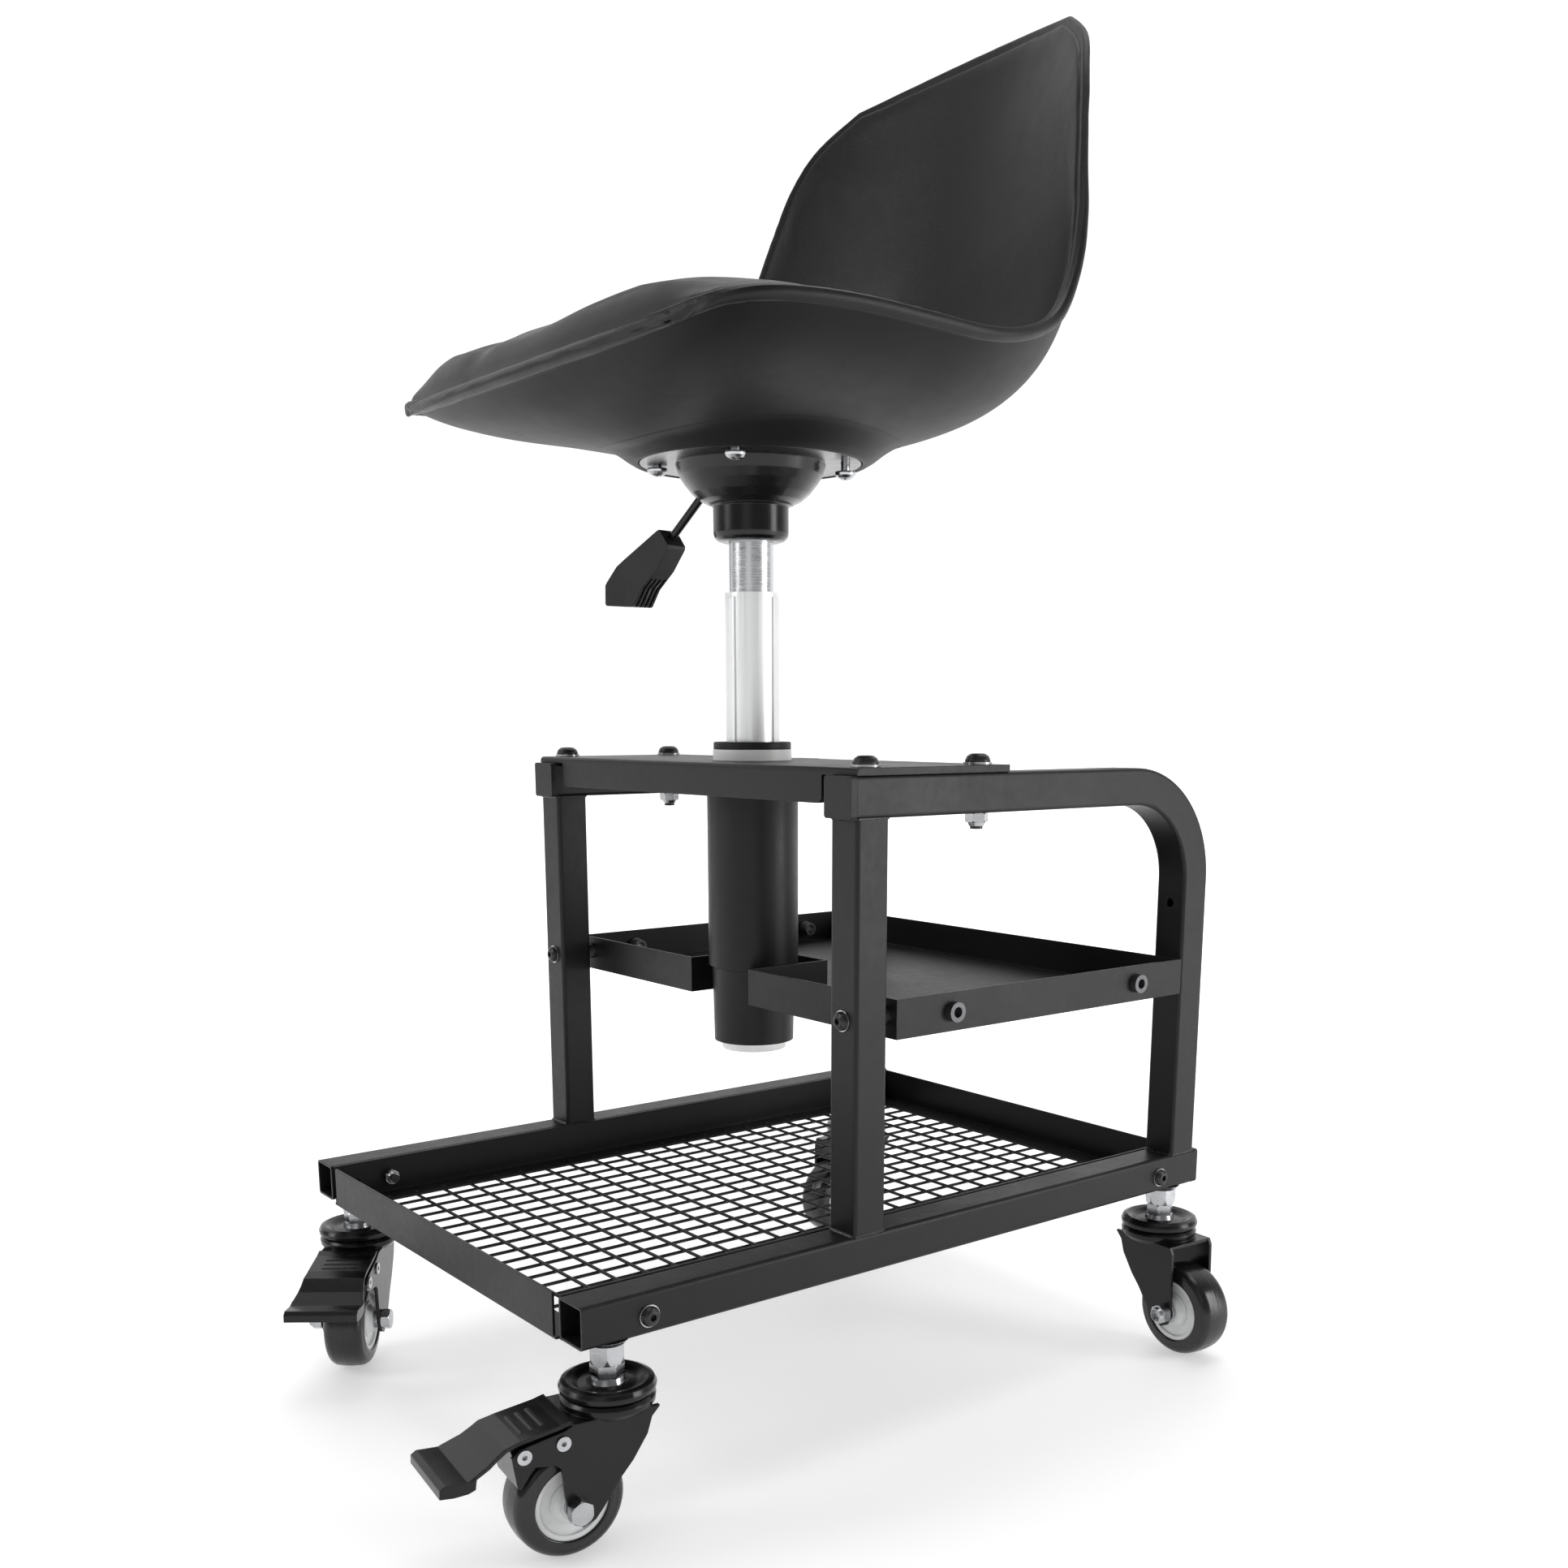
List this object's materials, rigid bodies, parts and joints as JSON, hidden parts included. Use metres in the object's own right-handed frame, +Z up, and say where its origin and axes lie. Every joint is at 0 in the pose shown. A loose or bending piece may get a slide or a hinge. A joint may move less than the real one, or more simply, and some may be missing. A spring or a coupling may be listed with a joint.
{
  "type": "rolling workshop stool",
  "caption": "Rolling mechanic's stool: low-backed bucket seat on a gas lift, square tube frame, tool trays and swivel castors with front brakes.",
  "frame": {"origin": "on the floor under the centre of the bounding box", "axes": "+Z up; front of the stool towards -Y; +X to the sitter's left when facing the front"},
  "size_m": [0.4464, 0.614, 0.917],
  "materials": {
    "frame_paint": "fine-textured black powder coat",
    "black_plastic": "matt black plastic",
    "black_fastener": "black oxide screws",
    "zinc_steel": "bright zinc plate",
    "nylon_white": "natural white nylon",
    "rod_steel": "ground and chromed rod",
    "aluminium": "satin extruded aluminium",
    "chrome": "hard chrome",
    "gland_polymer": "seal carrier",
    "gloss_black_steel": "gloss black electro-coat",
    "shell_plastic": "fine grained black moulding",
    "seat_vinyl": "black leather-look vinyl skin",
    "tread_polyurethane": "dark grey polyurethane",
    "wheel_core": "light grey moulded core"
  },
  "bodies": {
    "frame": {"rail_left": "frame_paint", "rail_right": "frame_paint", "post_left": "frame_paint", "post_right": "frame_paint", "arch_left": "frame_paint", "arch_right": "frame_paint", "end_caps": "black_plastic", "weld_beads": "frame_paint", "top_plate": "frame_paint", "plate_bolts": "black_fastener", "washers": "zinc_steel", "plate_nuts": "zinc_steel", "column_tube": "frame_paint", "column_lower": "frame_paint", "nylon_bush": "nylon_white", "top_ring": "black_plastic", "column_cap": "nylon_white", "piston_rod": "rod_steel", "rod_seat": "zinc_steel", "mid_tray": "frame_paint", "rivet_nuts": "zinc_steel", "frame_bolts": "black_fastener", "frame_nuts": "zinc_steel", "tray_spacers": "zinc_steel", "lower_tray": "frame_paint", "mesh": "frame_paint", "castor_couplings": "zinc_steel", "castor_stems": "zinc_steel", "castor_caps": "gloss_black_steel"},
    "guide": {"guide_tube": "aluminium"},
    "seat": {"gas_cylinder": "chrome", "cylinder_gland": "gland_polymer", "seat_hub": "gloss_black_steel", "seat_dish": "gloss_black_steel", "seat_screws": "zinc_steel", "seat_boss": "shell_plastic", "seat_shell": "shell_plastic", "seat_pad": "seat_vinyl"},
    "lever": {"lever_rod": "gloss_black_steel", "lever_grip": "shell_plastic"},
    "valve": {"valve_pin": "rod_steel"},
    "castor_fl": {"fork_fl": "gloss_black_steel", "axle_fl": "zinc_steel"},
    "wheel_fl": {"tread_fl": "tread_polyurethane", "wheel_hub_fl": "wheel_core"},
    "pedal_fl": {"brake_pedal_fl": "gloss_black_steel"},
    "castor_fr": {"fork_fr": "gloss_black_steel", "axle_fr": "zinc_steel"},
    "wheel_fr": {"tread_fr": "tread_polyurethane", "wheel_hub_fr": "wheel_core"},
    "pedal_fr": {"brake_pedal_fr": "gloss_black_steel"},
    "castor_rl": {"fork_rl": "gloss_black_steel", "axle_rl": "zinc_steel"},
    "wheel_rl": {"tread_rl": "tread_polyurethane", "wheel_hub_rl": "wheel_core"},
    "castor_rr": {"fork_rr": "gloss_black_steel", "axle_rr": "zinc_steel"},
    "wheel_rr": {"tread_rr": "tread_polyurethane", "wheel_hub_rr": "wheel_core"}
  },
  "joints": [
    {"name": "guide_lift", "type": "slide", "parent": "frame", "child": "guide", "axis": [0, 0, 1], "range_m": [-0.095, 0]},
    {"name": "seat_swivel", "type": "hinge", "parent": "guide", "child": "seat", "pos_m": [-0.01379, 0.03425, 0.6], "axis": [0, 0, 1], "continuous": true},
    {"name": "lever_lift", "type": "hinge", "parent": "seat", "child": "lever", "pos_m": [-0.03546, 0.03043, 0.6135], "axis": [-0.1736, 0.9848, 0], "range_deg": [0, 5], "stiffness_Nm_per_rad": 0.8},
    {"name": "valve_press", "type": "slide", "parent": "seat", "child": "valve", "axis": [0, 0, -1], "range_m": [0, 0.0021]},
    {"name": "swivel_fl", "type": "hinge", "parent": "frame", "child": "castor_fl", "pos_m": [-0.18879, -0.19825, 0.09], "axis": [0, 0, 1], "continuous": true},
    {"name": "roll_fl", "type": "hinge", "parent": "castor_fl", "child": "wheel_fl", "pos_m": [-0.16603, -0.2154, 0.03325], "axis": [0.6018, 0.7986, 0], "continuous": true},
    {"name": "brake_fl", "type": "hinge", "parent": "castor_fl", "child": "pedal_fl", "pos_m": [-0.16004, -0.21991, 0.0743], "axis": [0.6018, 0.7986, 0], "range_deg": [-4, 2.5]},
    {"name": "swivel_fr", "type": "hinge", "parent": "frame", "child": "castor_fr", "pos_m": [0.16121, -0.19825, 0.09], "axis": [0, 0, 1], "continuous": true},
    {"name": "roll_fr", "type": "hinge", "parent": "castor_fr", "child": "wheel_fr", "pos_m": [0.15774, -0.22654, 0.03325], "axis": [0.9925, -0.1219, 0], "continuous": true},
    {"name": "brake_fr", "type": "hinge", "parent": "castor_fr", "child": "pedal_fr", "pos_m": [0.15682, -0.23398, 0.0743], "axis": [0.9925, -0.1219, 0], "range_deg": [-4, 2.5]},
    {"name": "swivel_rl", "type": "hinge", "parent": "frame", "child": "castor_rl", "pos_m": [-0.18879, 0.27925, 0.09], "axis": [0, 0, 1], "continuous": true},
    {"name": "roll_rl", "type": "hinge", "parent": "castor_rl", "child": "wheel_rl", "pos_m": [-0.18482, 0.25103, 0.03325], "axis": [0.9903, 0.1392, 0], "continuous": true},
    {"name": "swivel_rr", "type": "hinge", "parent": "frame", "child": "castor_rr", "pos_m": [0.16121, 0.27925, 0.09], "axis": [0, 0, 1], "continuous": true},
    {"name": "roll_rr", "type": "hinge", "parent": "castor_rr", "child": "wheel_rr", "pos_m": [0.18964, 0.27726, 0.03325], "axis": [0.0698, 0.9976, 0], "continuous": true}
  ],
  "couplings": [
    {"joint": "valve_press", "follows": "lever_lift", "m_per_rad": 0.024}
  ]
}
